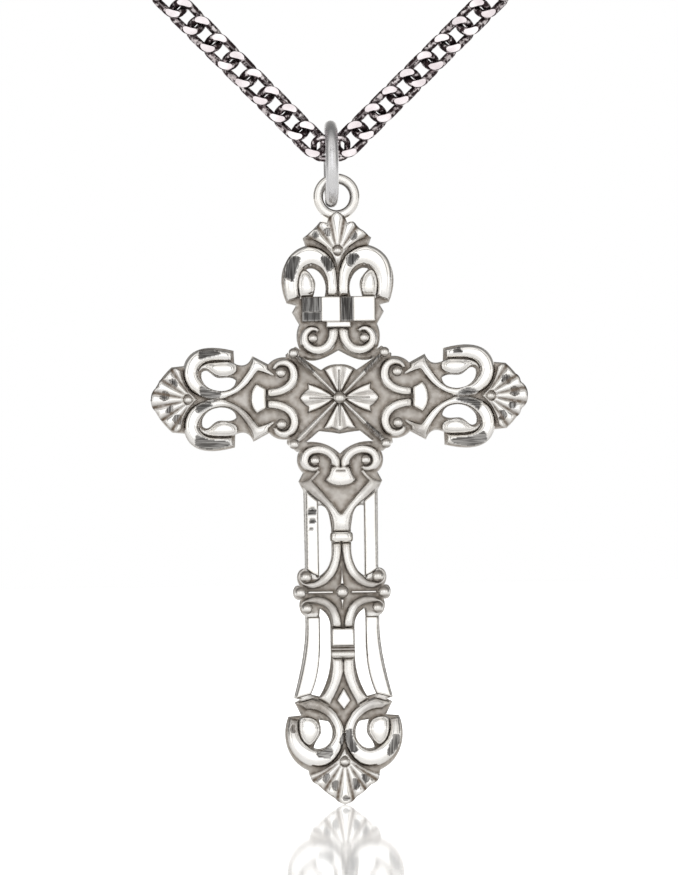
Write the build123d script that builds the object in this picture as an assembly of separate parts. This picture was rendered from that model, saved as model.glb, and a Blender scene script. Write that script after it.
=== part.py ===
from build123d import *
import math
import os

# Filigree cross pendant on a curb chain, in millimetres. +Z is up, the front faces -Y.
# The origin is on the flat back of the cross, behind the middle of its rosette.

# Depth of the cross, counted from the flat back towards the front
PLATE_T = 0.9            # pierced back plate
LOW_RELIEF = 1.3         # front of the rosette's petals
RIDGE_FRONT = 1.6        # front of the thin ridges
RAIL_FRONT = 1.75        # front of the polished side rails
STRIP_FRONT = 2.0        # front of the volutes, forks and scrolls
HIGH_RELIEF = 2.25       # front of the band, collars, rays and boss

# Hanging loop, jump ring and chain
LOOP_Z = 17.23           # height of the loop's middle
LOOP_R = 2.0
LOOP_HOLE_R = 1.15
LOOP_T = 1.5             # depth of the loop along Y
RING_WIRE = 1.1          # wire of the jump ring
RING_TOP_Z = 23.8
RING_BOTTOM_Z = 16.87    # middle of the ring's wire where it passes through the loop
RING_X = -0.42           # the ring hangs left of the middle, against the loop's wall
LINK_WIRE = 0.7          # curb chain
LINK_PITCH = 2.12
LINK_WIDTH = 2.4
LINK_TWIST = 0.66        # how far each corner of a link leans out of its plane
LINK_BEND = 0.75         # bend radius at a link's corners
LINK_FLAT = 0.56         # half the depth of the chain after its faces are ground flat
LINKS_PER_SIDE = 11
APEX_Z = 21.45           # middle of the link that the ring hangs on
APEX_WIRE = 0.55
APEX_LEAN = 0.85
CHAIN_LEAN = 0.8         # the chain's V is turned by this much, in degrees
END_RING_R = 1.75        # rings at the chain's two ends, to the middle of their wire
END_RING_WIRE = 0.6
END_RING_AT = 0.62       # where the ring's wire crosses the last link, from the link's middle
CLASP_T = 1.6            # depth of the lobster clasp
LEVER_T = 0.8
PIN_R = 0.22
RUNNING_GAP = 0.06
SMALLEST_PIECE = 0.02     # mm2, smaller offcuts of an outline are left out

MID_Y = -0.5 * LOOP_T    # the plane of the loop's and the ring's middle
CHAIN_Y = MID_Y + 0.45   # the plane of the chain's middle

FRONT = Plane(origin=(0, 0, 0), x_dir=(1, 0, 0), z_dir=(0, -1, 0))


# ---------------------------------------------------------------- outlines and reliefs

def outline(*stretches):
    """Closed face from stretches of points. Two points make a line, more make a smooth curve.
    Each stretch starts where the last one ended, and the last one ends where the first began."""
    edges = []
    start = stretches[0][0]
    for stretch in stretches:
        points = list(stretch)
        if points[0] != start:
            points = [start] + points
        edges.append(Line(*points) if len(points) == 2 else Spline(*points))
        start = points[-1]
    return make_face(edges)


def both_sides(*stretches):
    """Closed face symmetric about the upright axis, from its right half, top to bottom."""
    left = [[(-x, z) for x, z in reversed(stretch)] for stretch in reversed(stretches)]
    return outline(*stretches, *left)


def above_and_below(*stretches):
    """Closed face symmetric about the level axis, from its upper half, inside to outside."""
    lower = [[(x, -z) for x, z in reversed(stretch)] for stretch in reversed(stretches)]
    return outline(*stretches, *lower)


def ribbon(points, widths, steps=28):
    """Strip of changing width along a smooth line through the points."""
    line = Spline(*points)
    left, right = [], []
    for i in range(steps + 1):
        t = i / steps
        place = line @ t
        along = line % t
        k = t * (len(widths) - 1)
        low = min(int(k), len(widths) - 2)
        half = 0.5 * (widths[low] + (widths[low + 1] - widths[low]) * (k - low))
        left.append((place.X - along.Y * half, place.Y + along.X * half))
        right.append((place.X + along.Y * half, place.Y - along.X * half))
    right.reverse()
    sides = [Spline(*left), Spline(*right)]
    return make_face(sides + [Line(left[-1], right[0]), Line(right[-1], left[0])])


def disc(x, z, r):
    return Pos(x, z) * Circle(r)


def mirrored(face):
    return face.mirror(Plane.YZ)


def flipped(face):
    return face.mirror(Plane.XZ)


def raised(face, back, front):
    """Solid standing on the face's outline between two depths."""
    return extrude(FRONT.offset(back) * face, front - back)


# ---------------------------------------------------------------- back plate

CROWN_PLATE = both_sides(
    [(0, 15.55), (1.45, 15.1)],
    [(1.45, 15.1), (2.1, 14.4), (2.95, 13.72)],
    [(2.95, 13.72), (2.7, 13.0)],
    [(2.7, 13.0), (3.95, 12.3), (4.72, 10.9), (4.78, 9.5), (4.4, 8.15)],
    [(4.4, 8.15), (3.6, 7.95)],
    [(3.6, 7.95), (3.95, 7.35)],
    [(3.95, 7.35), (3.35, 6.3)],
    [(3.35, 6.3), (3.58, 5.2), (3.2, 4.0), (2.2, 3.3), (1.1, 3.4), (0.0, 4.0)],
)
CROWN_HOLE = outline(
    [(1.12, 8.7), (1.03, 9.3), (1.12, 10.0), (1.5, 10.7), (2.1, 11.1), (2.66, 11.02)],
    [(2.66, 11.02), (2.15, 10.45), (1.92, 9.97), (1.93, 9.38), (2.1, 8.7)],
    [(2.1, 8.7), (1.12, 8.7)],
)
CENTRE_PLATE = both_sides(
    [(0, 3.6), (2.0, 3.6), (3.7, 4.45)],
    [(3.7, 4.45), (4.55, 3.75)],
    [(4.55, 3.75), (4.4, 0.0), (4.55, -3.9)],
    [(4.55, -3.9), (3.7, -4.6)],
    [(3.7, -4.6), (0, -4.6)],
)
ROSETTE_WINDOW_TOP = both_sides(
    [(0, 4.05), (0.95, 3.55), (2.2, 3.2), (2.95, 3.35)],
    [(2.95, 3.35), (1.52, 2.4)],
    [(1.52, 2.4), (0.85, 2.78), (0, 2.88)],
)
ROSETTE_WINDOW_BOTTOM = both_sides(
    [(0, -3.1), (0.9, -2.95), (1.75, -2.85)],
    [(1.75, -2.85), (2.85, -3.75)],
    [(2.85, -3.75), (1.3, -3.95), (0, -4.78)],
)
ARM_PLATE = above_and_below(
    [(3.6, 0), (3.6, 3.2)],
    [(3.6, 3.2), (4.3, 3.5), (5.3, 3.45), (6.05, 2.95)],
    [(6.05, 2.95), (7.4, 3.68)],
    [(7.4, 3.68), (8.0, 2.95), (8.95, 3.05)],
    [(8.95, 3.05), (9.0, 4.15)],
    [(9.0, 4.15), (10.5, 4.42), (12.2, 4.2), (13.3, 2.9)],
    [(13.3, 2.9), (14.35, 2.8)],
    [(14.35, 2.8), (15.3, 1.75), (16.2, 0)],
)
ARM_HOLE = outline(
    [(8.85, 1.6), (9.6, 1.85), (10.4, 1.85), (10.9, 2.15), (11.3, 2.45), (11.75, 2.3)],
    [(11.75, 2.3), (11.65, 1.5), (10.9, 0.85), (9.9, 0.72), (9.1, 1.05), (8.85, 1.6)],
)
SHAFT_PLATE = both_sides(
    [(0, -4.6), (1.1, -4.1), (2.2, -3.85), (3.4, -4.4), (3.7, -5.4), (3.2, -6.4)],
    [(3.2, -6.4), (3.6, -7.15)],
    [(3.6, -7.15), (3.2, -7.95)],
    [(3.2, -7.95), (3.15, -14.6)],
    [(3.15, -14.6), (3.7, -14.9), (3.82, -15.6), (3.6, -16.08)],
    [(3.6, -16.08), (4.1, -16.25), (4.2, -16.7), (4.1, -17.1), (3.6, -17.3)],
    [(3.6, -17.3), (3.68, -17.8), (3.55, -18.35), (3.2, -18.7)],
    [(3.2, -18.7), (3.28, -21.0), (3.66, -23.3), (4.25, -25.7)],
    [(4.25, -25.7), (0, -26.9)],
)
UPPER_WINDOW = outline(
    [(1.96, -9.27), (1.5, -9.3), (1.0, -10.2), (0.85, -11.2)],
    [(0.85, -11.2), (0.85, -13.2)],
    [(0.85, -13.2), (1.15, -14.5), (1.96, -15.3)],
    [(1.96, -15.3), (1.96, -9.27)],
)
LOWER_WINDOW = outline(
    [(1.9, -18.1), (1.35, -18.6), (1.05, -19.8)],
    [(1.05, -19.8), (1.05, -22.0)],
    [(1.05, -22.0), (1.3, -23.9), (2.05, -25.6)],
    [(2.05, -25.6), (2.8, -25.4)],
    [(2.8, -25.4), (2.15, -23.3), (1.95, -21.0), (1.95, -18.6), (1.9, -18.1)],
)
FOOT_PLATE = both_sides(
    [(0, -25.6), (3.1, -25.5)],
    [(3.1, -25.5), (4.2, -26.1)],
    [(4.2, -26.1), (3.65, -27.2)],
    [(3.65, -27.2), (4.75, -27.3)],
    [(4.75, -27.3), (5.05, -28.7), (4.7, -30.4), (3.1, -31.95)],
    [(3.1, -31.95), (3.0, -32.4)],
    [(3.0, -32.4), (1.7, -33.75), (0, -34.85)],
)
FOOT_HOLE = outline(
    [(1.35, -27.75), (1.05, -28.3), (1.02, -29.0), (1.3, -29.65), (1.9, -30.05), (2.6, -30.0)],
    [(2.6, -30.0), (2.3, -29.3), (2.0, -28.8), (2.0, -28.1), (2.15, -27.6)],
    [(2.15, -27.6), (1.35, -27.75)],
)


def back_plate():
    plate = CROWN_PLATE + CENTRE_PLATE + ARM_PLATE + mirrored(ARM_PLATE) + SHAFT_PLATE + FOOT_PLATE
    for hole in (CROWN_HOLE, ARM_HOLE, flipped(ARM_HOLE), UPPER_WINDOW, LOWER_WINDOW, FOOT_HOLE):
        plate = plate - hole - mirrored(hole)
    plate = plate - ROSETTE_WINDOW_TOP - ROSETTE_WINDOW_BOTTOM
    return raised(plate, 0, PLATE_T)


# ---------------------------------------------------------------- ornaments

def four_way(face):
    return [face, mirrored(face), flipped(face), flipped(mirrored(face))]


def pair(face):
    return [face, mirrored(face)]


def upper_and_lower(face):
    return [face, flipped(face)]


CROWN_SHELL = both_sides(
    [(0, 15.92), (0.55, 15.6), (0.85, 14.95)],
    [(0.85, 14.95), (1.35, 15.05), (1.75, 14.55)],
    [(1.75, 14.55), (2.4, 14.15), (2.78, 13.72)],
    [(2.78, 13.72), (1.7, 13.35), (0.45, 12.3)],
    [(0.45, 12.3), (0, 11.2)],
)
CROWN_SCROLL = ribbon(
    [(0.52, 8.72), (0.52, 10.1), (1.0, 11.5), (2.35, 12.2), (3.6, 11.5), (4.02, 10.1), (3.85, 8.45)],
    [0.84, 0.9, 1.35, 1.75, 1.6, 1.25, 1.05],
)
CROWN_LEAF = outline(
    [(2.2, 8.6), (1.95, 9.5), (2.15, 10.35), (2.75, 10.95), (3.15, 10.85)],
    [(3.15, 10.85), (3.38, 10.2), (3.38, 9.3), (3.25, 8.5)],
    [(3.25, 8.5), (2.2, 8.6)],
)
CROWN_BAND = both_sides(
    [(0, 8.66), (3.16, 8.66)],
    [(3.16, 8.66), (3.16, 6.5)],
    [(3.16, 6.5), (1.05, 6.5)],
    [(1.05, 6.5), (1.05, 6.03)],
    [(1.05, 6.03), (0, 6.03)],
)
CROWN_VOLUTE = ribbon(
    [(0.49, 6.0), (0.49, 5.3), (0.95, 4.4), (1.95, 4.07), (2.75, 4.5), (2.9, 5.35), (2.35, 5.92),
     (1.72, 5.7)],
    [0.92, 0.92, 0.92, 0.92, 0.86, 0.78, 0.62, 0.35],
)
PETAL_TOP = both_sides(
    [(0, 2.83), (0.75, 2.7), (1.32, 2.38)],
    [(1.32, 2.38), (0.2, 0.42)],
    [(0.2, 0.42), (0, 0.42)],
)
PETAL_BOTTOM = both_sides(
    [(0, -0.42), (0.2, -0.42)],
    [(0.2, -0.42), (1.45, -2.6)],
    [(1.45, -2.6), (1.05, -2.68), (0.7, -2.58)],
    [(0.7, -2.58), (0.4, -2.72), (0, -2.9)],
)
PETAL_SIDE = above_and_below(
    [(0.42, 0), (0.42, 0.12)],
    [(0.42, 0.12), (1.7, 0.95), (2.75, 1.3)],
    [(2.75, 1.3), (2.72, 0.78)],
    [(2.72, 0.78), (3.15, 0.45), (3.46, 0)],
)
RAY = outline(
    [(0.42, 0.3), (3.45, 3.1)],
    [(3.45, 3.1), (3.78, 3.62)],
    [(3.78, 3.62), (3.62, 3.78)],
    [(3.62, 3.78), (3.1, 3.45)],
    [(3.1, 3.45), (0.3, 0.42)],
    [(0.3, 0.42), (0.42, 0.3)],
)
ARM_VOLUTE = ribbon(
    [(6.2, 0.5), (5.3, 0.58), (4.3, 1.05), (3.85, 2.05), (4.25, 2.9), (5.05, 3.02), (5.55, 2.5)],
    [0.74, 0.82, 0.9, 0.9, 0.84, 0.62, 0.36],
)
ARM_FORK = outline(
    [(5.62, 2.1), (6.1, 2.55)],
    [(6.1, 2.55), (6.1, 2.88)],
    [(6.1, 2.88), (6.8, 3.25), (7.4, 3.57)],
    [(7.4, 3.57), (7.7, 2.7), (8.3, 1.75), (9.1, 0.95), (9.85, 0.72)],
    [(9.85, 0.72), (9.95, 0.06)],
    [(9.95, 0.06), (8.9, 0.42), (8.1, 0.95), (7.5, 1.6), (6.95, 2.3)],
    [(6.95, 2.3), (6.2, 2.1), (5.62, 1.95)],
    [(5.62, 1.95), (5.62, 2.1)],
)
ARM_SCROLL = ribbon(
    [(9.7, 0.4), (11.2, 0.5), (12.35, 1.25), (12.72, 2.5), (12.0, 3.55), (10.6, 3.8), (9.15, 3.65)],
    [0.62, 0.85, 1.25, 1.25, 1.25, 0.98, 0.72],
)
ARM_LEAF = outline(
    [(8.75, 2.95), (8.9, 2.2), (9.6, 1.9), (10.3, 1.9), (10.9, 2.2), (11.35, 2.55), (12.0, 2.4)],
    [(12.0, 2.4), (11.85, 2.8), (11.3, 3.1), (10.3, 3.2), (9.4, 3.2), (8.75, 2.95)],
)
ARM_CAP = above_and_below(
    [(6.28, 0), (6.28, 0.88)],
    [(6.28, 0.88), (7.1, 1.32)],
    [(7.1, 1.32), (7.5, 0.75), (7.65, 0)],
)
ARM_SHELL = above_and_below(
    [(12.25, 0), (12.6, 0.3)],
    [(12.6, 0.3), (13.3, 1.3), (13.65, 2.5)],
    [(13.65, 2.5), (14.05, 2.72), (14.4, 2.6)],
    [(14.4, 2.6), (15.0, 1.9)],
    [(15.0, 1.9), (15.3, 1.75), (15.55, 1.15)],
    [(15.55, 1.15), (15.95, 0.8), (16.15, 0)],
)
SHAFT_VOLUTE = ribbon(
    [(0.5, -5.9), (0.5, -5.25), (1.05, -4.65), (2.05, -4.42), (2.9, -4.8), (3.05, -5.6), (2.5, -6.05),
     (1.85, -5.9)],
    [0.86, 0.86, 0.86, 0.84, 0.84, 0.8, 0.6, 0.3],
)
SHAFT_TONGUE = both_sides(
    [(0, -5.9), (0.93, -5.9)],
    [(0.93, -5.9), (1.0, -6.4), (1.44, -7.02)],
    [(1.44, -7.02), (0.8, -7.5), (0, -7.62)],
)
SHAFT_FORK = both_sides(
    [(0, -9.9), (1.1, -8.55), (2.38, -7.1)],
    [(2.38, -7.1), (1.75, -6.35)],
    [(1.75, -6.35), (1.95, -6.2)],
    [(1.95, -6.2), (2.6, -6.85), (3.52, -7.19)],
    [(3.52, -7.19), (3.1, -7.75), (2.2, -8.6), (1.15, -9.6), (0.8, -10.6), (0.78, -11.48)],
    [(0.78, -11.48), (0, -11.48)],
)
UPPER_RAIL = outline(
    [(1.96, -8.85), (3.02, -7.95)],
    [(3.02, -7.95), (3.02, -14.7)],
    [(3.02, -14.7), (2.5, -15.1), (1.96, -15.3)],
    [(1.96, -15.3), (1.96, -8.85)],
)
UPPER_COLLAR = Pos(0, -11.95) * RectangleRounded(1.94, 0.94, 0.3)
KNOT_STRIP_TOP = ribbon(
    [
        (0.42, -12.42), (0.45, -13.4), (0.85, -14.8), (1.9, -15.85), (2.95, -16.0), (3.55, -15.45),
        (3.1, -14.75),
    ],
    [0.8, 0.8, 0.86, 0.86, 0.6, 0.4, 0.3],
)
KNOT_STRIP_BOTTOM = ribbon(
    [(0.52, -19.7), (0.62, -18.7), (1.15, -17.75), (2.1, -17.35), (3.05, -17.45), (3.5, -18.05)],
    [0.84, 0.84, 0.82, 0.72, 0.5, 0.34],
)
LOWER_BLOCK = Pos(0, -20.52) * Rectangle(1.94, 1.52)
LOWER_COLLAR = Pos(0, -21.78) * RectangleRounded(2.0, 1.0, 0.2)
LEG = outline(
    [(0.1, -22.3), (0.97, -22.3)],
    [(0.97, -22.3), (1.05, -23.6), (1.45, -24.9), (2.1, -25.75)],
    [(2.1, -25.75), (1.2, -26.35)],
    [(1.2, -26.35), (0.8, -25.6), (0.2, -24.3), (0.1, -22.3)],
)
LOWER_RAIL = outline(
    [(1.95, -18.75), (3.05, -18.75)],
    [(3.05, -18.75), (3.12, -21.0), (3.5, -23.3), (4.15, -25.75)],
    [(4.15, -25.75), (2.8, -25.4)],
    [(2.8, -25.4), (2.15, -23.3), (1.95, -21.0), (1.95, -18.75)],
)
DIAMOND = both_sides(
    [(0, -24.82), (0.64, -25.94)],
    [(0.64, -25.94), (0, -26.79)],
)
FOOT_HORN = outline(
    [(4.1, -26.12), (2.66, -25.72)],
    [(2.66, -25.72), (1.5, -26.2), (0.55, -27.1), (0.08, -28.1), (0.02, -28.9)],
    [(0.02, -28.9), (0.85, -28.9)],
    [(0.85, -28.9), (0.98, -28.1), (1.5, -27.35), (2.3, -26.85), (3.3, -26.7)],
    [(3.3, -26.7), (4.1, -26.12)],
)
FOOT_SCROLL = ribbon(
    [
        (0.44, -28.65), (0.85, -30.0), (1.9, -30.85), (3.2, -30.6), (4.15, -29.6), (4.4, -28.4),
        (4.3, -27.45),
    ],
    [0.8, 1.15, 1.45, 1.5, 1.3, 1.0, 0.75],
)
FOOT_LEAF = outline(
    [
        (3.85, -27.45), (2.9, -27.3), (2.2, -27.75), (2.05, -28.6), (2.4, -29.3), (2.85, -29.75),
        (3.3, -29.65),
    ],
    [(3.3, -29.65), (3.75, -29.0), (3.9, -28.2), (3.85, -27.45)],
)
FOOT_SHELL = both_sides(
    [(0, -30.1), (0.45, -30.9)],
    [(0.45, -30.9), (1.6, -31.75), (2.97, -32.27)],
    [(2.97, -32.27), (2.85, -32.75), (2.1, -33.17)],
    [(2.1, -33.17), (1.75, -33.65), (1.0, -34.1)],
    [(1.0, -34.1), (0.6, -34.6), (0, -34.81)],
)

# Beads, each (x, z, radius). The eyes and corners stand on both sides of the upright axis.
EYES = [(2.18, 5.13, 0.42), (5.0, 2.2, 0.45), (5.0, -2.2, 0.45), (2.16, -5.35, 0.42),
        (3.08, -15.33, 0.5), (3.02, -18.03, 0.47)]
CORNERS = [(3.9, 3.86, 0.43), (3.94, -3.95, 0.43)]
SHELL_BEADS = [(0, 12.6, 0.38), (12.95, 0, 0.38), (-12.95, 0, 0.38), (0, -31.15, 0.38)]
KNOT_BEADS = [(0, -16.63, 0.55), (3.58, -16.68, 0.5), (-3.58, -16.68, 0.5)]
BOSS_R = 0.5


def with_mirrors(places):
    return places + [(-x, z, r) for x, z, r in places]


def ridge_faces():
    """Thin straight ridges across the rosette's petals."""
    upright = Pos(0, 1.45) * Rectangle(0.17, 1.9)
    level = Pos(1.55, 0) * Rectangle(2.1, 0.17)
    return [upright, flipped(upright), level, mirrored(level)]


def knot_ridge_faces():
    """Level and upright ridges between the beads of the knot."""
    level = Pos(1.85, -16.66) * Rectangle(2.2, 0.22)
    top = both_sides([(0, -14.4), (0.16, -16.0)], [(0.16, -16.0), (0, -16.0)])
    low = both_sides([(0, -17.25), (0.16, -17.25)], [(0.16, -17.25), (0, -18.1)])
    return [level, mirrored(level), top, low]


# Each row: node, its faces, back depth, front depth. A later row is cut to fit the earlier ones.
RELIEFS = [
    ("crown_band", [CROWN_BAND], PLATE_T, HIGH_RELIEF),
    ("upper_collar", [UPPER_COLLAR], PLATE_T, HIGH_RELIEF),
    ("lower_block", [LOWER_BLOCK], PLATE_T, STRIP_FRONT),
    ("lower_collar", [LOWER_COLLAR], PLATE_T, HIGH_RELIEF),
    ("rosette_rays", four_way(RAY), PLATE_T, HIGH_RELIEF),
    ("crown_volutes", pair(CROWN_VOLUTE), PLATE_T, STRIP_FRONT),
    ("left_arm_volutes", upper_and_lower(mirrored(ARM_VOLUTE)), PLATE_T, STRIP_FRONT),
    ("right_arm_volutes", upper_and_lower(ARM_VOLUTE), PLATE_T, STRIP_FRONT),
    ("left_arm_forks", upper_and_lower(mirrored(ARM_FORK)), PLATE_T, STRIP_FRONT),
    ("right_arm_forks", upper_and_lower(ARM_FORK), PLATE_T, STRIP_FRONT),
    ("left_arm_cap", [mirrored(ARM_CAP)], PLATE_T, STRIP_FRONT),
    ("right_arm_cap", [ARM_CAP], PLATE_T, STRIP_FRONT),
    ("shaft_fork", [SHAFT_FORK], PLATE_T, STRIP_FRONT),
    ("shaft_tongue", [SHAFT_TONGUE], PLATE_T, STRIP_FRONT),
    ("shaft_volutes", pair(SHAFT_VOLUTE), PLATE_T, STRIP_FRONT),
    ("knot_upper_scrolls", pair(KNOT_STRIP_TOP), PLATE_T, STRIP_FRONT),
    ("knot_lower_scrolls", pair(KNOT_STRIP_BOTTOM), PLATE_T, STRIP_FRONT),
    ("foot_horns", pair(FOOT_HORN), PLATE_T, STRIP_FRONT),
    ("crown_scrolls", pair(CROWN_SCROLL), PLATE_T, STRIP_FRONT),
    ("left_arm_scrolls", upper_and_lower(mirrored(ARM_SCROLL)), PLATE_T, STRIP_FRONT),
    ("right_arm_scrolls", upper_and_lower(ARM_SCROLL), PLATE_T, STRIP_FRONT),
    ("foot_scrolls", pair(FOOT_SCROLL), PLATE_T, STRIP_FRONT),
    ("crown_shell", [CROWN_SHELL], PLATE_T, STRIP_FRONT),
    ("left_arm_shell", [mirrored(ARM_SHELL)], PLATE_T, STRIP_FRONT),
    ("right_arm_shell", [ARM_SHELL], PLATE_T, STRIP_FRONT),
    ("foot_shell", [FOOT_SHELL], PLATE_T, STRIP_FRONT),
    ("crown_leaves", pair(CROWN_LEAF), PLATE_T, STRIP_FRONT),
    ("left_arm_leaves", upper_and_lower(mirrored(ARM_LEAF)), PLATE_T, STRIP_FRONT),
    ("right_arm_leaves", upper_and_lower(ARM_LEAF), PLATE_T, STRIP_FRONT),
    ("foot_leaves", pair(FOOT_LEAF), PLATE_T, STRIP_FRONT),
    ("stem_legs", pair(LEG), PLATE_T, RAIL_FRONT),
    ("foot_diamond", [DIAMOND], PLATE_T, RAIL_FRONT),
    ("upper_rails", pair(UPPER_RAIL), PLATE_T, RAIL_FRONT),
    ("lower_rails", pair(LOWER_RAIL), PLATE_T, RAIL_FRONT),
    ("knot_ridges", knot_ridge_faces(), PLATE_T, RIDGE_FRONT),
    ("rosette_petals", [PETAL_TOP, PETAL_BOTTOM, PETAL_SIDE, mirrored(PETAL_SIDE)], PLATE_T, LOW_RELIEF),
]


def cut_faces():
    """Every relief's faces, cut so that none lies over an earlier one or over a round bead."""
    rounds = with_mirrors(EYES) + with_mirrors(CORNERS) + SHELL_BEADS + KNOT_BEADS + [(0, 0, BOSS_R)]
    taken = [disc(*place) for place in rounds]
    cut = {}
    for name, faces, back, front in RELIEFS:
        kept = []
        for face in faces:
            room = face.bounding_box()
            for other in taken:
                box = other.bounding_box()
                apart = box.min.X > room.max.X or box.max.X < room.min.X
                if not (apart or box.min.Y > room.max.Y or box.max.Y < room.min.Y):
                    face = face - other
            kept += [piece for piece in face.faces() if piece.area > SMALLEST_PIECE]
        taken += kept
        cut[name] = Compound([raised(piece, back, front) for piece in kept])
    return cut


def bead(x, z, r, back, front):
    """Round bead: a short drum with a half-ball on its front."""
    neck = front - r
    slope = r * math.sqrt(0.5)
    edges = [
        Line((0, back), (r, back)),
        Line((r, back), (r, neck)),
        ThreePointArc((r, neck), (slope, neck + slope), (0, front)),
        Line((0, front), (0, back)),
    ]
    side = Plane(origin=(x, 0, z), x_dir=(1, 0, 0), z_dir=(0, 0, -1))
    return revolve(side * make_face(edges), Axis((x, 0, z), (0, 1, 0)))


def beads(places, front):
    return Compound([bead(x, z, r, PLATE_T, front) for x, z, r in places])


# ---------------------------------------------------------------- hanging parts

def hanging_loop(plate, shell):
    """Rounded eye on a short neck, let in behind the top shell."""
    wall = LOOP_R - LOOP_HOLE_R
    section = Pos(LOOP_HOLE_R + wall / 2, LOOP_T / 2) * RectangleRounded(wall, LOOP_T, 0.38)
    side = Plane(origin=(0, 0, LOOP_Z), x_dir=(1, 0, 0), z_dir=(0, 0, -1))
    eye = revolve(side * section, Axis((0, 0, LOOP_Z), (0, 1, 0)))
    neck_outline = both_sides(
        [(0, 15.75), (1.2, 15.75)],
        [(1.2, 15.75), (1.3, 15.2), (1.7, 14.7)],
        [(1.7, 14.7), (0, 14.7)],
    )
    whole = eye + raised(neck_outline, 0, LOOP_T - 0.3) - plate - shell
    return max(whole.solids(), key=lambda piece: piece.volume)


def jump_ring():
    middle_z = (RING_TOP_Z - RING_WIRE / 2 + RING_BOTTOM_Z) / 2
    swing_r = middle_z - RING_BOTTOM_Z
    return Plane(origin=(RING_X, MID_Y, middle_z), z_dir=(1, 0, 0)) * Torus(swing_r, RING_WIRE / 2)


def bent_link(long, wide, corners, wire):
    """Closed wire through a link's four corners, as two halves joined at its long sides.
    Each corner is (end, side, depth): -1 or +1 along X and along Z, and its place along Y."""
    points = [(end * long, depth, edge * wide) for end, edge, depth in corners]
    middles = [tuple((a + b) / 2 for a, b in zip(points[i], points[(i + 1) % 4])) for i in (0, 2)]
    halves = [
        [middles[0], points[1], points[2], middles[1]],
        [middles[1], points[3], points[0], middles[0]],
    ]
    link = None
    for half in halves:
        path = FilletPolyline(*half, radius=LINK_BEND)
        rod = sweep(Plane(origin=path @ 0, z_dir=path % 0) * Circle(wire / 2), path)
        link = rod if link is None else link + rod
    return link


def curb_link(side):
    """One twisted link with its front and back ground flat, lying along X."""
    lean = -side * LINK_TWIST
    corners = [(1, 1, lean), (-1, 1, -lean), (-1, -1, lean), (1, -1, -lean)]
    long = (LINK_PITCH + LINK_WIRE + RUNNING_GAP) / 2
    link = bent_link(long, (LINK_WIDTH - LINK_WIRE) / 2, corners, LINK_WIRE)
    return link & Box(2 * LINK_PITCH, 2 * LINK_FLAT, 2 * LINK_WIDTH)


def apex_link():
    """Plain oval link that joins the two strands. It leans, its upper side to the front."""
    corners = [(1, 1, -APEX_LEAN), (-1, 1, -APEX_LEAN), (-1, -1, APEX_LEAN), (1, -1, APEX_LEAN)]
    long = (LINK_PITCH + LINK_WIRE + RUNNING_GAP) / 2
    link = bent_link(long, (LINK_WIDTH - LINK_WIRE) / 2, corners, APEX_WIRE)
    return Pos(RING_X, CHAIN_Y, APEX_Z) * link


def chain_places(side):
    """Middle and slope of each link of one strand, from the apex outwards and up."""
    slope = math.radians(45 - side * CHAIN_LEAN)
    half = LINK_PITCH / 2
    x = RING_X + side * (half + half * math.cos(slope))
    z = APEX_Z + half * math.sin(slope)
    places = []
    for _ in range(LINKS_PER_SIDE):
        places.append((x, z, slope))
        x += side * LINK_PITCH * math.cos(slope)
        z += LINK_PITCH * math.sin(slope)
    return places


def placed(link, x, z, angle):
    return Pos(x, CHAIN_Y, z) * Rot(0, -math.degrees(angle), 0) * link


def strand(side):
    link = curb_link(side)
    return Compound([placed(link, x, z, side * slope) for x, z, slope in chain_places(side)])


def strand_end(side, beyond):
    """Middle plane of a fitting on a strand's line, past the last link, facing the front."""
    x, z, slope = chain_places(side)[-1]
    along = (side * math.cos(slope), 0, math.sin(slope))
    origin = (x + along[0] * beyond, CHAIN_Y, z + along[2] * beyond)
    return Plane(origin=origin, x_dir=along, z_dir=(0, -side, 0))


def end_ring(side):
    """Round ring through the last link, standing across the chain's flat."""
    plane = strand_end(side, END_RING_AT + END_RING_R)
    return Plane(origin=plane.origin, z_dir=plane.y_dir) * Torus(END_RING_R, END_RING_WIRE / 2)


# The clasp's outline is drawn in its own plane: x runs away from the chain.
EYE_R, EYE_HOLE_R = 1.1, 0.6
HOOK_X, HOOK_R, HOOK_HOLE_R = 4.7, 2.2, 1.3
PIVOT = (3.3, 1.15)
PIVOT_R = 0.5
GATE_FROM, GATE_TO = 0, 118   # the hook's opening, degrees round its middle
GATE_REACH = 2.6              # the gate's tip, from its pivot
EAR_R = 0.75
SLOT_OVERLAP = 10             # degrees by which the lever's slot runs into the opening
SLOT_TO = 150                 # where the slot ends
LEVER_ROOT = 14               # degrees by which the gate runs into the slot
SLOT_SIDE = 0.06              # clearance on each face of the lever
TAB_LONG, TAB_WIDE = 0.9, 0.7


def clasp_plane():
    return strand_end(1, END_RING_AT + 2 * END_RING_R - 0.1)


def hook_sector(start, end, reach):
    """Wedge round the hook's middle between two angles."""
    middle = (HOOK_X, 0)
    mid_angle = math.radians((start + end) / 2)
    corners = [(HOOK_X + reach * math.cos(math.radians(a)), reach * math.sin(math.radians(a)))
               for a in (start, end)]
    bulge = (HOOK_X + reach * math.cos(mid_angle), reach * math.sin(mid_angle))
    return make_face([Line(middle, corners[0]), ThreePointArc(corners[0], bulge, corners[1]),
                      Line(corners[1], middle)])


def slab(face, thickness):
    return clasp_plane() * extrude(face, thickness / 2, both=True)


def gate_room(to_angle, reach):
    """The part of the hook's opening side that lies within reach of the pivot."""
    return hook_sector(GATE_FROM, to_angle, 2 * HOOK_R) & disc(*PIVOT, reach)


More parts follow.
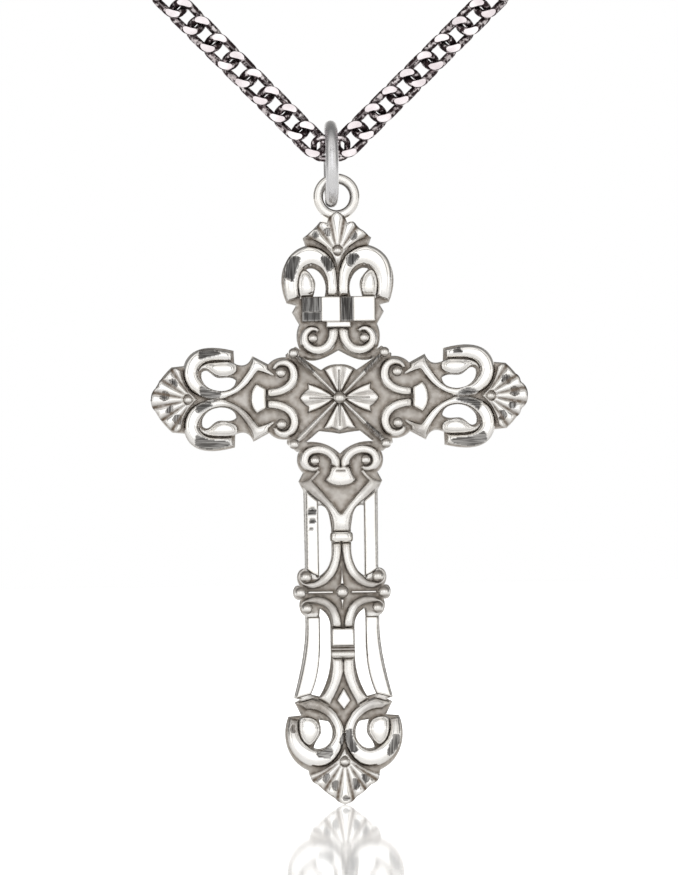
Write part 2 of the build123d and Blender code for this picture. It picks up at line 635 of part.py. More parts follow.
def clasp_body():
    neck = Pos(HOOK_X / 2 - 0.4, 0) * Rectangle(HOOK_X - 1.6, 1.7)
    hook = disc(HOOK_X, 0, HOOK_R) + disc(0, 0, EYE_R) + neck + disc(*PIVOT, EAR_R)
    hook = hook - disc(HOOK_X, 0, HOOK_HOLE_R) - disc(0, 0, EYE_HOLE_R)
    hook = hook - (gate_room(GATE_TO, GATE_REACH + RUNNING_GAP) - disc(*PIVOT, EAR_R))
    slot = disc(*PIVOT, EAR_R + 0.05) + hook_sector(GATE_TO - SLOT_OVERLAP, SLOT_TO, HOOK_R + 0.1)
    lever_slot = slab(slot, LEVER_T + 2 * SLOT_SIDE)
    return slab(hook, CLASP_T) - lever_slot - slab(disc(*PIVOT, PIN_R), 2 * CLASP_T)


def clasp_lever():
    """Sprung gate of the clasp, with a thumb tab on its outside."""
    gate = disc(HOOK_X, 0, HOOK_R - 0.05) - disc(HOOK_X, 0, HOOK_HOLE_R + 0.05)
    gate = gate & gate_room(GATE_TO + LEVER_ROOT, GATE_REACH)
    tab = Pos(PIVOT[0] + 0.5, HOOK_R + 0.1) * Rot(0, 0, 20) * Rectangle(TAB_WIDE, TAB_LONG)
    lever = slab(gate + disc(*PIVOT, PIVOT_R) + tab, LEVER_T)
    return lever - slab(disc(*PIVOT, PIN_R + 0.03), 2 * CLASP_T)


def clasp_pin():
    return slab(disc(*PIVOT, PIN_R), CLASP_T)


# ---------------------------------------------------------------- all nodes

def build_nodes():
    nodes = {"back_plate": back_plate()}
    nodes.update(cut_faces())
    nodes["rosette_ridges"] = Compound([raised(face, LOW_RELIEF, RIDGE_FRONT) for face in ridge_faces()])
    nodes["centre_boss"] = bead(0, 0, BOSS_R, PLATE_T, HIGH_RELIEF + 0.15)
    nodes["corner_beads"] = beads(with_mirrors(CORNERS), HIGH_RELIEF)
    nodes["volute_eyes"] = beads(with_mirrors(EYES), STRIP_FRONT)
    nodes["shell_beads"] = beads(SHELL_BEADS, HIGH_RELIEF)
    nodes["knot_beads"] = beads(KNOT_BEADS, HIGH_RELIEF)
    nodes["hanging_loop"] = hanging_loop(nodes["back_plate"], nodes["crown_shell"])
    nodes["jump_ring"] = jump_ring()
    nodes["chain_left"] = strand(-1)
    nodes["chain_right"] = strand(1)
    nodes["chain_apex_link"] = apex_link()
    nodes["end_ring_left"] = end_ring(-1)
    nodes["end_ring_right"] = end_ring(1)
    nodes["clasp_body"] = clasp_body()
    nodes["clasp_lever"] = clasp_lever()
    nodes["clasp_pin"] = clasp_pin()
    return nodes


if __name__ == "__main__":
    os.makedirs("parts", exist_ok=True)
    for node, solid in build_nodes().items():
        export_step(solid, f"parts/{node}.step")
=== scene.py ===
import math

import bpy
import numpy as np
from mathutils import Matrix, Vector
from mathutils.geometry import delaunay_2d_cdt


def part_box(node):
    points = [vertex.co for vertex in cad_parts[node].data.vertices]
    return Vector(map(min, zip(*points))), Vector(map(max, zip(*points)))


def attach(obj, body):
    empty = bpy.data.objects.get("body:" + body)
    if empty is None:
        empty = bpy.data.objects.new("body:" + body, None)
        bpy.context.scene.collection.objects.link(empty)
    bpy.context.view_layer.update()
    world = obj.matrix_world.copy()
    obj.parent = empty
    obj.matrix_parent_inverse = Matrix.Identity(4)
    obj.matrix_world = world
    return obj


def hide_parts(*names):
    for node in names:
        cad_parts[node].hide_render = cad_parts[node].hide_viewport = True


# Looks of the filigree cross pendant. Metres, +Z up, the front faces -Y.
# Each ornament is raised here as a rounded, fluted or faceted relief on the outline of its own CAD front.

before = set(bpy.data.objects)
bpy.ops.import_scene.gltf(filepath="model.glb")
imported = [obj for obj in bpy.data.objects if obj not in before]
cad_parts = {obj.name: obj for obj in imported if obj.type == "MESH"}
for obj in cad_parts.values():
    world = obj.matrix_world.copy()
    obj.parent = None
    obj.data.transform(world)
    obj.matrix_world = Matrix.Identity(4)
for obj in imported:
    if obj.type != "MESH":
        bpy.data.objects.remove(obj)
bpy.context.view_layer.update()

MM = 0.001
PLATE_FRONT = -0.9 * MM          # front of the back plate
PLATE_GRID = 0.16 * MM           # spacing of the plate's points
PLATE_EDGE = 0.16                # width of the plate's rounded edge, in mm
PLATE_DROP = 0.3 * MM            # how far that edge falls back
SUNK = 0.03 * MM                 # how far a relief's foot stands in the plate
GRID = 0.1 * MM                  # spacing of a relief's points
FRONT_BAND = 0.02 * MM           # a face belongs to a node's front if it lies within this depth
FACING_FRONT = -0.99             # and its normal's y is below this
SAME_LINE = 0.012 * MM           # two outlines closer than this are one shared line
SAME_POINT = 0.004               # in mm: closer points are merged when they are joined in triangles
PER_TENTH_MICRON = 1e7
CHUNK = 2000                     # points that are measured at a time
RIM_CLEARANCE = 0.55             # in grid steps: inner points keep this far from the rim
FILM_ROUNDS = 400                # rounds at most in which a film takes its shape
FILM_PRECISION = 1e-14
FLOOR_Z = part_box("back_plate")[0][2]
LEVEL, UPRIGHT = 0.5, 1.0        # values of the attribute "cut": which way the painted reflection streaks on a cut facet run
FEET = []                        # outlines of the reliefs, for the plate's patina and painted shade about their feet


# ---------------------------------------------------------------- outlines from the frame

def front_outline(name):
    """Edges round the front face of a CAD node, as pairs of (x, z) ends, and the depth of that front."""
    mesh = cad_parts[name].data
    count = len(mesh.polygons)
    places = np.empty(len(mesh.vertices) * 3)
    mesh.vertices.foreach_get("co", places)
    places = places.reshape(-1, 3)
    normals = np.empty(count * 3)
    mesh.polygons.foreach_get("normal", normals)
    corners = np.empty(count * 3, dtype=np.int64)
    mesh.polygons.foreach_get("vertices", corners)
    corners = corners.reshape(-1, 3)
    front = places[:, 1].min()
    level = np.all(places[corners][:, :, 1] < front + FRONT_BAND, axis=1)
    picked = corners[level & (normals.reshape(-1, 3)[:, 1] < FACING_FRONT)]
    flat = np.round(places[:, [0, 2]] * PER_TENTH_MICRON).astype(np.int64)
    _, same = np.unique(flat, axis=0, return_inverse=True)
    same = same.reshape(-1)
    ends = {}
    for a, b, c in picked:
        for i, j in ((a, b), (b, c), (c, a)):
            key = (min(same[i], same[j]), max(same[i], same[j]))
            if key[0] != key[1]:
                ends.setdefault(key, []).append((i, j))
    rim = [pairs[0] for pairs in ends.values() if len(pairs) == 1]
    return np.array([[places[i][[0, 2]], places[j][[0, 2]]] for i, j in rim]), front


def distance(points, edges):
    """Distance of each point to the nearest edge."""
    best = np.full(len(points), 1.0)
    start = edges[:, 0]
    along = edges[:, 1] - start
    length = np.maximum((along ** 2).sum(1), 1e-20)
    for first in range(0, len(points), CHUNK):
        part = points[first:first + CHUNK]
        to = part[:, None, :] - start[None]
        t = np.clip((to * along[None]).sum(2) / length, 0, 1)
        gap = to - t[..., None] * along[None]
        best[first:first + CHUNK] = np.sqrt((gap ** 2).sum(2).min(1))
    return best


def inside(points, edges):
    """Whether each point lies inside the closed outline that the edges make."""
    x0, z0 = edges[:, 0, 0], edges[:, 0, 1]
    x1, z1 = edges[:, 1, 0], edges[:, 1, 1]
    result = np.zeros(len(points), dtype=bool)
    rise = np.where(np.abs(z1 - z0) < 1e-12, 1e-12, z1 - z0)
    for first in range(0, len(points), CHUNK):
        x, z = points[first:first + CHUNK].T[:, :, None]
        crosses = (z0[None] > z) != (z1[None] > z)
        at = x0[None] + (z - z0[None]) * (x1 - x0)[None] / rise[None]
        result[first:first + CHUNK] = (np.logical_and(crosses, x < at).sum(1) % 2) == 1
    return result


def within(points, outlines):
    """Whether each point lies inside any of the outlines."""
    return np.any([inside(points, edges) for edges in outlines], axis=0)


def joined(outlines):
    """One outline round several that touch: the lines they share are left out."""
    kept = []
    for i, edges in enumerate(outlines):
        middles = edges.mean(axis=1)
        shared = np.zeros(len(edges), dtype=bool)
        for j, other in enumerate(outlines):
            if i != j:
                shared |= distance(middles, other) < SAME_LINE
        kept.append(edges[~shared])
    return np.concatenate(kept)


def divided(edges, step):
    """The same edges, none longer than the step."""
    pieces = []
    for a, b in edges:
        parts = max(1, int(math.ceil(np.linalg.norm(b - a) / step)))
        for k in range(parts):
            pieces.append((a + (b - a) * k / parts, a + (b - a) * (k + 1) / parts))
    return np.array(pieces)


def filled(outlines, step):
    """Even triangles inside the outlines: points, triangles, and the pairs of points along the rim."""
    edges = divided(joined(outlines), step)
    ends = edges.reshape(-1, 2)
    low, high = ends.min(0) - step, ends.max(0) + step
    row = step * math.sqrt(3) / 2
    grid = []
    for k in range(int((high[1] - low[1]) / row) + 1):
        xs = np.arange(low[0] + (k % 2) * step / 2, high[0], step)
        grid.append(np.stack([xs, np.full(len(xs), low[1] + k * row)], axis=1))
    grid = np.concatenate(grid)
    grid = grid[within(grid, outlines)]
    grid = grid[distance(grid, edges) > step * RIM_CLEARANCE]
    points = [Vector(p) for p in np.concatenate([ends, grid]) / MM]
    lines = [(2 * i, 2 * i + 1) for i in range(len(edges))]
    out, _, faces, _, _, _ = delaunay_2d_cdt(points, lines, [], 0, SAME_POINT)
    places = np.array([tuple(p) for p in out]) * MM
    faces = np.array([f for f in faces if len(f) == 3])
    faces = faces[within(places[faces].mean(axis=1), outlines)]
    used = np.unique(faces)
    number = np.full(len(places), -1)
    number[used] = np.arange(len(used))
    places, faces = places[used], number[faces]
    seen = dict.fromkeys((i, j) for a, b, c in faces for i, j in ((a, b), (b, c), (c, a)))
    rim = [(i, j) for i, j in seen if (j, i) not in seen]
    return places, faces, rim


def twice_area(places, faces):
    """Twice the signed area of each triangle."""
    a, b, c = (places[faces[:, k]] for k in range(3))
    return (b - a)[:, 0] * (c - a)[:, 1] - (b - a)[:, 1] * (c - a)[:, 0]


def facing_front(places, faces, rim):
    """The triangles wound to face the front, and the rim's pairs in the order that those triangles run."""
    turned = twice_area(places, faces) < 0
    tris = [tuple(f[::-1]) if t else tuple(f) for f, t in zip(faces.tolist(), turned)]
    sides = {(tri[k], tri[(k + 1) % 3]) for tri in tris for k in range(3)}
    return tris, [(i, j) if (i, j) in sides else (j, i) for i, j in rim]


def inflated(places, faces, rim):
    """Height over each point of a film blown up from the outline. A strip becomes a half-round."""
    count = len(places)
    double = np.maximum(np.abs(twice_area(places, faces)), 1e-16)
    weights = []
    for k in range(3):
        tip = places[faces[:, k]]
        one = places[faces[:, (k + 1) % 3]] - tip
        two = places[faces[:, (k + 2) % 3]] - tip
        weights.append(np.clip((one * two).sum(1) / double * 0.5, 0.02, 4))
    i = np.concatenate([faces[:, 1], faces[:, 2], faces[:, 0]])
    j = np.concatenate([faces[:, 2], faces[:, 0], faces[:, 1]])
    w = np.concatenate(weights)
    load = np.bincount(faces.reshape(-1), np.repeat(double / 6, 3), count)
    total = np.bincount(i, w, count) + np.bincount(j, w, count)
    free = np.ones(count, dtype=bool)
    free[[p for pair in rim for p in pair]] = False

    def stiff(u):
        out = total * u - np.bincount(i, w * u[j], count) - np.bincount(j, w * u[i], count)
        return np.where(free, out, 0)

    u = np.zeros(count)
    left = np.where(free, load, 0)
    scale = np.where(free, 1 / np.maximum(total, 1e-9), 0)
    z = scale * left
    step = z.copy()
    size = (left * z).sum()
    for _ in range(FILM_ROUNDS):
        push = stiff(step)
        rate = size / max((step * push).sum(), 1e-30)
        u += rate * step
        left -= rate * push
        z = scale * left
        new = (left * z).sum()
        if new < FILM_PRECISION * max(size, 1e-30) or new < 1e-24:
            break
        step = z + (new / size) * step
        size = new
    return np.sqrt(np.maximum(2 * u, 0))


# ---------------------------------------------------------------- relief shapes
# A shape gets each point's place, the film's height and the gap to the rim, in metres. It gives heights from 0 to 1
# and, where there are any, a darkening and the cut marks from 0 to 1: the darkening is patina in grooves and lines,
# with painted shade on some strips and the rays' lower flanks; cut marks get a painted dark reflection. Its own
# measures are in mm and degrees.

def smooth(t):
    """A step from 0 to 1 that starts and ends gently."""
    t = np.clip(t, 0, 1)
    return t * t * (3 - 2 * t)


def line_at(value, middle, width):
    """1 along an engraved line, falling away to either side of it."""
    return np.exp(-((value - middle) / width) ** 2)


def levelled(r):
    """A round strip, levelled off above a height of 1."""
    return r / (1 + r ** 5) ** 0.2


def shoulder(gap, radius):
    """A rounded edge: 0 at the rim, 1 from the radius inwards."""
    return np.sqrt(1 - (1 - np.clip(gap / (radius * MM), 0, 1)) ** 2)


def rounded(full):
    """A full, round strip that levels off where it is wider than twice the given radius."""
    def shape(places, film, gap):
        return levelled(film / (full * MM))
    return shape


def matt_shaded(full, spots):
    """A rounded strip, left matt about each spot (x, z, reach, depth of the tone) and darkened there with painted
    shade.
    """
    def shape(places, film, gap):
        darkening = np.zeros(len(places))
        for x, z, reach, tone in spots:
            away = np.hypot(places[:, 0] - x * MM, places[:, 1] - z * MM) / MM
            darkening = np.maximum(darkening, tone * smooth((reach - away) / (0.6 * reach)))
        return rounded(full)(places, film, gap), darkening
    return shape


def leafed(full):
    """A swelling leaf with an engraved line just inside its rim."""
    def shape(places, film, gap):
        line = line_at(gap / MM, 0.24, 0.05)
        return levelled(film / (full * MM)) - 0.16 * line, 0.4 * line
    return shape


def rayed(places, film, gap):
    """Four rays with a ridge along each: painted shade along the lower flank, and near the ends of three, cut marks
    for a painted dark reflection across, with no facet cut.
    """
    flank, struck_from, struck_to, ridge = 0.22, 3.1, 5.0, 0.03 * MM
    x, z = places[:, 0], places[:, 1]
    lower = np.where(z > 0, np.abs(z) < np.abs(x) - ridge, np.abs(z) > np.abs(x) + ridge)
    away = np.hypot(x, z) / MM
    struck = (away > struck_from) & (away < struck_to) & ~((x < 0) & (z < 0))
    return np.clip(gap / (flank * MM), 0, 1), lower * 0.5, struck * UPRIGHT


def eased(edge, crown=0.0):
    """A flat face with a softened edge, slightly crowned."""
    def shape(places, film, gap):
        return (1 - crown) * shoulder(gap, edge) + crown * np.clip(film / (1.2 * MM), 0, 1)
    return shape


def roofed(full):
    """Two flat flanks that meet in a ridge along the middle."""
    def shape(places, film, gap):
        return np.clip(gap / (full * MM), 0, 1)
    return shape


def fluted(centre, turn, spread, flutes, deep=0.3):
    """A scallop: rounded lobes parted by sharp grooves, fanned out from its bead at the centre."""
    def shape(places, film, gap):
        away = places - np.array(centre) * MM
        angle = np.degrees(np.arctan2(away[:, 1], away[:, 0])) - turn
        angle = (angle + 180) % 360 - 180
        wave = np.abs(np.sin(math.pi * (angle / spread + 0.5) * flutes))
        far = smooth(np.hypot(away[:, 0], away[:, 1]) / (1.3 * MM))
        grooves = np.clip(1.3 * far * (1 - wave) ** 1.5, 0, 1)
        return 0.35 * shoulder(gap, 0.3) + 0.65 - deep * far * (1 - wave ** 0.9), grooves
    return shape


def petalled(places, film, gap):
    """Four petals, each with a raised spine and a hollow on either side of it."""
    x, z = np.abs(places[:, 0]), np.abs(places[:, 1])
    out, across = np.maximum(x, z), np.minimum(x, z)
    side = np.clip(across / (0.5 * out + 0.1 * MM), 0, 1)
    hollow = line_at(side, 0.3, 0.12) * smooth(out / (2.2 * MM))
    return shoulder(gap, 0.25) * (1 - 0.35 * hollow - 0.1 * side), 0.45 * hollow


def banded(places, film, gap):
    """The crown's band: four bright-cut panels, the first and third tilted, the first in two tiers."""
    flat, first_middle, first_end, third_start, third_middle, third_end = 0.86, -2.3, -1.45, 0.15, 0.72, 1.3
    seam_z, tier_z = 6.5, 7.35
    x, z = places[:, 0] / MM, places[:, 1] / MM
    height = np.full(len(places), flat)
    first = x < first_end
    height = np.where(first, flat + 0.19 * (x - first_middle), height)
    height = np.where(first & (z < tier_z), 0.8 + 0.2 * (x - first_middle), height)
    third = (x > third_start) & (x < third_end) & (z > seam_z)
    height = np.where(third, flat - 0.2 * (x - third_middle), height)
    seam = line_at(z, seam_z, 0.05) + line_at(x, third_start, 0.04) * (z > seam_z)
    height = np.clip(height - 0.05 * seam, 0, 1) * (0.9 + 0.1 * shoulder(gap, 0.1))
    # the first and third panels are marked as cut: a painted dark reflection
    return height, np.clip(0.8 * seam, 0, 1), (first | third) * UPRIGHT


def collared(places, film, gap):
    """The lower collar: a narrow flat band between two grooves, then a round bead."""
    upper_groove, lower_groove, bead_top, bead_middle, bead_radius = -21.42, -21.68, -21.72, -21.98, 0.3
    z = places[:, 1] / MM
    grooves = line_at(z, upper_groove, 0.05) + line_at(z, lower_groove, 0.05)
    round_part = np.sqrt(np.clip(1 - ((z - bead_middle) / bead_radius) ** 2, 0, 1))
    height = np.where(z > bead_top, 0.55, 0.4 + 0.6 * round_part)
    return np.clip(height - 0.3 * grooves, 0, 1), np.clip(grooves + (z > lower_groove) * 0.35, 0, 1)


def tongued(places, film, gap):
    """Round stems that run into a flat tongue with one short engraved line."""
    x, z = places[:, 0] / MM, places[:, 1] / MM
    line = line_at(z, -6.26, 0.06) * (np.abs(x) < 0.42)
    return levelled(film / (0.5 * MM)) - 0.35 * line, 0.9 * line


# ---------------------------------------------------------------- pieces

def built(name, points, faces, sharp, slot, nodes, **marks):
    """A smooth piece of the cross in place of its CAD nodes. Its sharp edges are given as pairs of points, and each
    mark as a value for every point."""
    mesh = bpy.data.meshes.new(name)
    mesh.from_pydata(points, [], faces)
    mesh.polygons.foreach_set("use_smooth", [True] * len(mesh.polygons))
    for edge in mesh.edges:
        if tuple(sorted(edge.vertices)) in sharp:
            edge.use_edge_sharp = True
    for mark, values in marks.items():
        mesh.attributes.new(mark, "FLOAT", "POINT").data.foreach_set("value", values)
    mesh.update()
    piece = bpy.data.objects.new(name, mesh)
    bpy.context.scene.collection.objects.link(piece)
    mesh.materials.append(MATERIALS[slot])
    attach(piece, "cross")
    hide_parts(*nodes)


def relief(name, nodes, slot, shape, wall=0.45, step=GRID, cuts=()):
    """A piece raised on the fronts of its CAD nodes, with upright walls down into the plate. The wall is the part
    of the height that stands upright. Each cut is (x, z, reach, sideways, upward, depth): a flat facet filed across
    the piece, tilted by those degrees and marked for a painted dark reflection. The piece darkens towards its rim
    and
    down its walls: painted edge shade, with patina at the foot."""
    fronts = [front_outline(node) for node in nodes]
    tall = PLATE_FRONT - min(depth for _, depth in fronts)
    outlines = [edge for edge, _ in fronts]
    places, faces, rim = filled(outlines, step)
    foot_line = joined(outlines)
    FEET.append(foot_line)
    gap = distance(places, foot_line)
    parts = shape(places, inflated(places, faces, rim), gap)
    parts = parts if isinstance(parts, tuple) else (parts,)
    # the shape's darkening: patina in grooves, engraved lines and the collar's band, painted shade on the matt
    # strips and the rays' lower flanks
    grooves = parts[1] if len(parts) > 1 else np.zeros(len(places))
    filed = parts[2] if len(parts) > 2 else np.zeros(len(places))
    high = tall * (wall + (1 - wall) * np.clip(parts[0], 0, 1))
    for x, z, reach, sideways, upward, depth in cuts:
        off = places - np.array((x, z)) * MM
        away = np.hypot(off[:, 0], off[:, 1])
        flat = high[away.argmin()] - depth * MM
        flat = flat - math.tan(math.radians(sideways)) * off[:, 0] - math.tan(math.radians(upward)) * off[:, 1]
        struck = (away < reach * MM) & (flat < high) & (flat > 0.3 * tall)
        high = np.where(struck, flat, high)
        filed = np.where(struck, LEVEL if abs(upward) > abs(sideways) else UPRIGHT, filed)
    top = [(p[0], h, p[1]) for p, h in zip(places, PLATE_FRONT - high)]
    ends = sorted({p for pair in rim for p in pair})
    foot = {p: len(top) + k for k, p in enumerate(ends)}
    base = [(places[p][0], PLATE_FRONT + SUNK, places[p][1]) for p in ends]
    tris, lips = facing_front(places, faces, rim)
    walls = [(j, i, foot[i], foot[j]) for i, j in lips]
    # darker towards the rim and down the walls: painted edge shade, with patina where the foot stands in the plate
    low = np.maximum(0.5 * (1 - smooth(gap / (0.13 * MM))), grooves)
    built(name, top + base, tris + walls, {(min(p), max(p)) for p in rim}, slot, nodes,
          tarnish=list(low) + [1.0] * len(base), cut=list(filed) + [0.0] * len(base))


def plate(name, node, slot):
    """The pierced back plate: flat behind, with its front edges rounded off. Its patina is darkest at the feet of
    the reliefs, with painted shade laid on there, and it is left lighter along its own edges and beside the rails."""
    outline, front = front_outline(node)
    places, faces, rim = filled([outline], PLATE_GRID)
    count = len(places)
    gap = distance(places, outline)
    drop = PLATE_DROP * (1 - shoulder(gap, PLATE_EDGE))
    points = [(p[0], front + d, p[1]) for p, d in zip(places, drop)] + [(p[0], 0.0, p[1]) for p in places]
    tris, lips = facing_front(places, faces, rim)
    walls = [(j, i, i + count, j + count) for i, j in lips]
    behind = [tuple(v + count for v in tri[::-1]) for tri in tris]
    # painted shade gathering at the feet of the reliefs, laid over the patina
    feet = np.exp(-distance(places, np.concatenate(FEET)) / (0.3 * MM))
    rails = np.concatenate([front_outline(rail)[0] for rail in ("upper_rails", "lower_rails")])
    beside = 1 - smooth((distance(places, rails) - 0.25 * MM) / (0.15 * MM))
    darkening = smooth((gap + 0.06 * MM) / (0.2 * MM)) * (1 - beside) * (0.42 + 0.58 * feet)
    built(name, points, tris + walls + behind, {(min(p) + k, max(p) + k) for p in rim for k in (0, count)}, slot,
          [node], tarnish=list(darkening) + [0.0] * count)


# ---------------------------------------------------------------- materials

# Noise scales, in features to the metre, and colours that several metals share.
REFLECTION_STREAKS, SCRATCHES, MOTTLE, PATCHES, ROUGH_PATCHES, TONAL_DRIFT = 11000, 9000, 2700, 2600, 1500, 700
# the grey painted on cut facets as their reflection of a dark surround
PAINTED_FACET_REFLECTION = (0.11, 0.104, 0.1)
PALE, WARM = (0.9, 0.885, 0.86), (0.84, 0.815, 0.775)
EYE_BORE = (0, 17.23, 1.15)     # x, z and radius of the hanging eye, in mm


def added(tree, kind, inputs=None, **settings):
    """A new shader node with its settings. Each input is set to a value or linked from another node's output."""
    node = tree.nodes.new("ShaderNode" + kind)
    for key, value in settings.items():
        setattr(node, key, value)
    for key, value in (inputs or {}).items():
        if isinstance(value, bpy.types.NodeSocket):
            tree.links.new(value, node.inputs[key])
        else:
            node.inputs[key].default_value = value
    return node


def maths(tree, operation, *values, clamp=False):
    """The result of arithmetic on numbers or outputs."""
    return added(tree, "Math", dict(enumerate(values)), operation=operation, use_clamp=clamp).outputs[0]


def vector_maths(tree, operation, *values):
    """The outputs of vector arithmetic."""
    return added(tree, "VectorMath", dict(enumerate(values)), operation=operation).outputs


def mixed(tree, fac, one, two):
    """A blend of two colours, each a colour or another node's output."""
    one, two = ((*value, 1) if isinstance(value, tuple) else value for value in (one, two))
    return added(tree, "Mix", {0: fac, 6: one, 7: two}, data_type="RGBA").outputs[2]


def metal(name, colour, tint, roughness, grain, grain_depth, scratch, dark=(0.16, 0.125, 0.095),
          bore=None, sides=False, ball_shading=False):
    """Silver with tonal drift, fine grain, polishing scratches and the darkening each piece carries: patina with
    painted shade. Faces marked as cut get a painted dark reflection in streaks. A bore (x, z, radius) gets painted
    shade inside. With sides, all but the faces ground flat in front and behind get painted shade broken by painted
    glints.
    Beads can get painted shade above and below a painted highlight band round the middle."""
    material = bpy.data.materials.new(name)
    material.use_nodes = True
    tree = material.node_tree
    tree.nodes.clear()
    shader = added(tree, "BsdfPrincipled", {"Metallic": 1.0})
    added(tree, "OutputMaterial", {"Surface": shader.outputs[0]})
    place = added(tree, "TexCoord").outputs

    def noise(scale, detail, stretch=(1, 1, 1)):
        mapping = added(tree, "Mapping", {"Vector": place["Object"], "Scale": stretch})
        inputs = {"Vector": mapping.outputs[0], "Scale": scale, "Detail": detail}
        return added(tree, "TexNoise", inputs).outputs["Fac"]

    def ramp(value, low, high, to_low, to_high):
        return added(tree, "MapRange", {"Value": value, "From Min": low, "From Max": high, "To Min": to_low,
                                        "To Max": to_high}).outputs["Result"]

    def attribute(key):
        return added(tree, "Attribute", attribute_name=key).outputs["Fac"]

    def clamped(operation, *values):
        return maths(tree, operation, *values, clamp=True)

    def bumped(height, strength, deep, **below):
        inputs = {"Height": height, "Strength": strength, "Distance": deep * MM, **below}
        return added(tree, "Bump", inputs).outputs[0]

    # cut facets: a painted dark reflection, in streaks that run level or upright as the mark says
    filed = ramp(attribute("cut"), 0, LEVEL, 0, 1)
    upright = ramp(attribute("cut"), LEVEL, UPRIGHT, 0, 1)
    reflection_streaks = mixed(tree, upright, noise(REFLECTION_STREAKS, 1, (0.05, 1, 1)), noise(REFLECTION_STREAKS, 1, (1, 1, 0.05)))
    facet_reflection = clamped("MULTIPLY", filed, ramp(ramp(reflection_streaks, 0.42, 0.58, 0, 1), 0, 1, 0.62, 0.98))
    tone = mixed(tree, ramp(noise(TONAL_DRIFT, 3), 0.35, 0.7, 0, 1), colour, tint)
    tone = mixed(tree, facet_reflection, tone, PAINTED_FACET_REFLECTION)
    # the piece's own darkening, patina and painted shade, broken up in patches
    stain_and_shade = clamped("MULTIPLY", ramp(noise(PATCHES, 4), 0.3, 0.7, 0.75, 1.15), attribute("tarnish"))
    # painted shade inside the bore
    if bore:
        x, z, radius = (value * MM for value in bore)
        level = vector_maths(tree, "MULTIPLY", place["Object"], (1, 0, 1))["Vector"]
        away = vector_maths(tree, "DISTANCE", level, (x, 0, z))["Value"]
        stain_and_shade = clamped("ADD", stain_and_shade, ramp(away, radius + 0.16 * MM, radius + 0.02 * MM, 0, 0.85))
    if sides or ball_shading:
        turned = added(tree, "SeparateXYZ", {0: place["Normal"]}).outputs
    # painted shade on the sides of the chain links, broken by painted glints where the noise runs high
    if sides:
        mottle = ramp(noise(MOTTLE, 3), 0.5, 0.6, 1.0, 0.1)
        side = ramp(clamped("ABSOLUTE", turned["Y"]), 0.97, 0.88, 0, 1)
        stain_and_shade = clamped("ADD", stain_and_shade, clamped("MULTIPLY", side, mottle))
    # painted shade above and below a bead's middle, leaving a painted highlight band
    if ball_shading:
        high = clamped("ABSOLUTE", maths(tree, "ADD", turned["Z"], 0.08))
        stain_and_shade = clamped("ADD", stain_and_shade, ramp(high, 0.26, 0.5, 0, 0.62))
    rough = ramp(noise(ROUGH_PATCHES, 4), 0.3, 0.7, roughness * 0.75, roughness * 1.25)
    fine = bumped(noise(grain, 3), grain_depth, 0.02)
    lines = bumped(noise(SCRATCHES, 2, (1, 1, 0.06)), scratch, 0.01, Normal=fine)
    for value, key in ((mixed(tree, stain_and_shade, tone, dark), "Base Color"), (lines, "Normal"),
                       (clamped("MULTIPLY_ADD", stain_and_shade, 0.3, rough), "Roughness")):
        tree.links.new(value, shader.inputs[key])
    return material


# Each metal: colour, the colour it drifts to, roughness, the grain's scale and depth, the depth of its scratches.
MATERIALS = {
    "relief_silver": metal("relief_silver", PALE, (0.86, 0.835, 0.8), 0.25, 5200, 0.1, 0.1),
    "bright_cut_silver": metal("bright_cut_silver", (0.95, 0.94, 0.925), (0.91, 0.89, 0.85), 0.08, 900, 0.12, 0.06),
    "oxidised_silver": metal("oxidised_silver", (0.8, 0.785, 0.76), (0.72, 0.7, 0.67), 0.3, 5200, 0.6, 0.1,
                             dark=(0.36, 0.31, 0.26)),
    "satin_silver": metal("satin_silver", (0.8, 0.8, 0.81), (0.74, 0.74, 0.76), 0.3, 5200, 0.25, 0.35),
    "chain_silver": metal("chain_silver", (0.6, 0.57, 0.585), (0.5, 0.47, 0.485), 0.2, 2400, 0.2, 0.2),
}
# Chain links: pale flat faces, with painted shade and painted glints on their sides.
LINKS = metal("chain_links", (0.95, 0.9, 0.91), (0.7, 0.63, 0.645), 0.18, 3200, 0.6, 0.5,
              dark=(0.05, 0.033, 0.036), sides=True)
# The hanging eye, with painted shade inside its bore.
EYE = metal("loop_silver", PALE, WARM, 0.2, 5200, 0.1, 0.1, bore=EYE_BORE)
# Beads, with painted shade above and below a painted highlight band.
BEAD = metal("bead_silver", PALE, WARM, 0.2, 5200, 0.08, 0.08, ball_shading=True)
OWN_METAL = {
    **dict.fromkeys(("chain_left", "chain_right", "chain_apex_link"), LINKS),
    "hanging_loop": EYE,
    **dict.fromkeys(("centre_boss", "corner_beads", "volute_eyes", "shell_beads", "knot_beads"), BEAD),
}
for name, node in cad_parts.items():
    for holder in node.material_slots:
        if holder.material and holder.material.name.split(".")[0] in MATERIALS:
            holder.material = MATERIALS[holder.material.name.split(".")[0]]
    if name in OWN_METAL:
        node.material_slots[0].material = OWN_METAL[name]


# ---------------------------------------------------------------- ornaments

ARM_CUTS = {
    "left": ((-11.1, 3.85, 0.95, -2, 18, 0.1), (-11.05, 0.7, 0.95, 2, -13.5, 0.1),
             (-11.6, -0.75, 0.75, -2, 18, 0.1), (-10.85, -3.75, 1.6, 0, -13.5, 0.15)),
    "right": ((11.05, -0.45, 1.15, 5, 17, 0.13), (11.0, -3.8, 1.6, 0, -13.5, 0.15),
              (10.2, 3.8, 0.4, -5, 18, 0.05)),
}
# Spots on the arms' strands, made matt and darkened with painted shade: x, z, reach, depth of the tone.
ARM_MATT_SHADE = {"left": ((-8.7, -1.8, 2.4, 0.55),), "right": ((6.3, -3.1, 1.5, 0.55), (6.6, 3.2, 1.2, 0.3))}
# The arms' shells: x out from the middle, z, sideways tilt, upward tilt.
SHELL_CUTS = ((14.3, 1.35, 15.5, 0), (15.0, 0.35, 15.5, 0), (14.7, -0.75, 15.5, -2), (13.9, -1.7, 13, -5))

